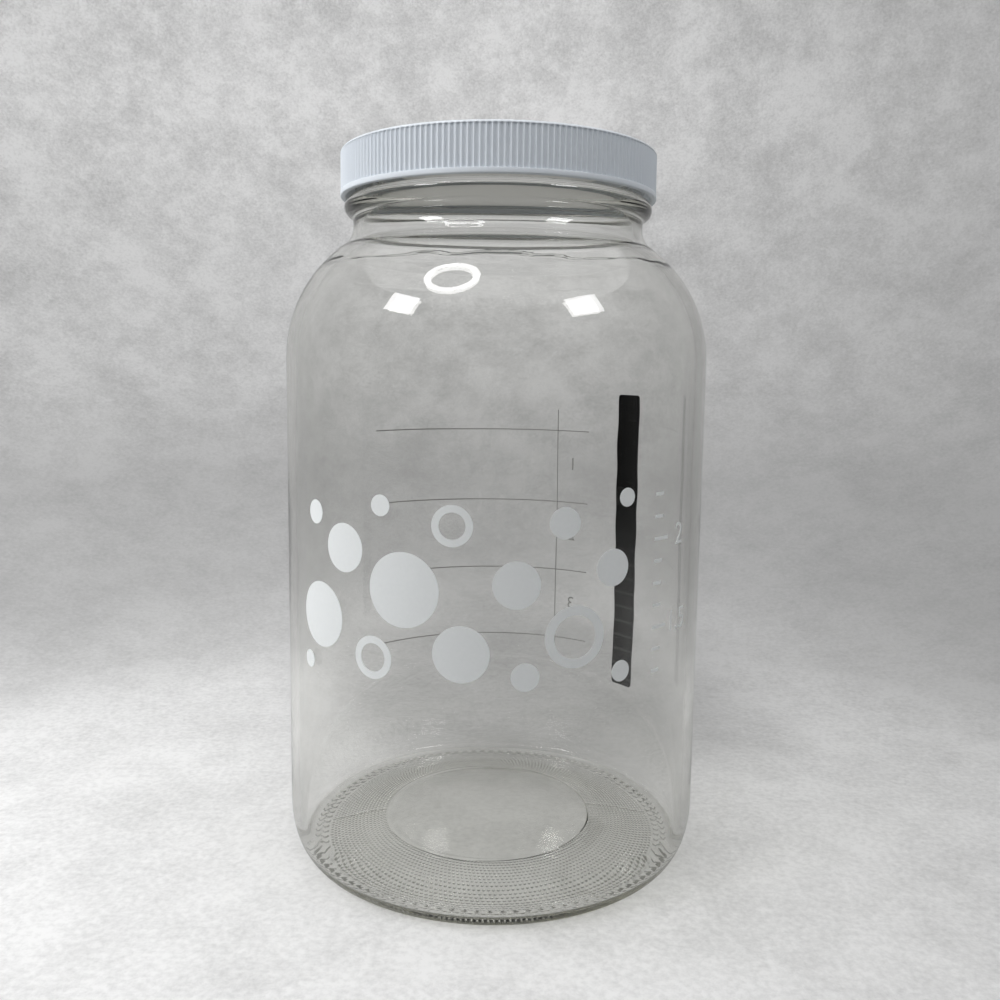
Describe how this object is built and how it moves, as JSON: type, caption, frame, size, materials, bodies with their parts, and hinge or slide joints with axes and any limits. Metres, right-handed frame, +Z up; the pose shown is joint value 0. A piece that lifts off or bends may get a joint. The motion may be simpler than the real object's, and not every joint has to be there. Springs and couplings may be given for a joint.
{
  "type": "glass brewing jar",
  "caption": "Wide-mouth clear glass brewing jar with a round shoulder, a ribbed white screw cap with a sealing liner, and a stick-on thermometer strip on its wall.",
  "frame": {"origin": "on the jar axis, in the plane of the standing ring", "axes": "+Z up along the jar axis, front of the jar towards -Y, +X to the right seen from the front"},
  "size_m": [0.154, 0.154, 0.257],
  "materials": {
    "clear_glass": "clear soda-lime glass with a faint grey-green tint, smooth and glossy",
    "white_plastic": "moulded white polypropylene, satin",
    "liner_foam": "white closed-cell polyethylene foam, matt",
    "black_film": "black printed film with a glossy face"
  },
  "bodies": {
    "jar": {"glass_jar": "clear_glass", "thermometer_strip": "black_film"},
    "liner": {"cap_liner": "liner_foam"},
    "cap": {"screw_cap": "white_plastic"}
  },
  "joints": [
    {"name": "cap_lift", "type": "slide", "parent": "jar", "child": "liner", "axis": [0, 0, 1], "range_m": [0, 0.01524]},
    {"name": "cap_turn", "type": "hinge", "parent": "liner", "child": "cap", "pos_m": [0, 0, 0.25], "axis": [0, 0, 1], "range_deg": [0, 1080]}
  ],
  "couplings": [
    {"joint": "cap_lift", "follows": "cap_turn", "m_per_rad": 0.00080851}
  ]
}
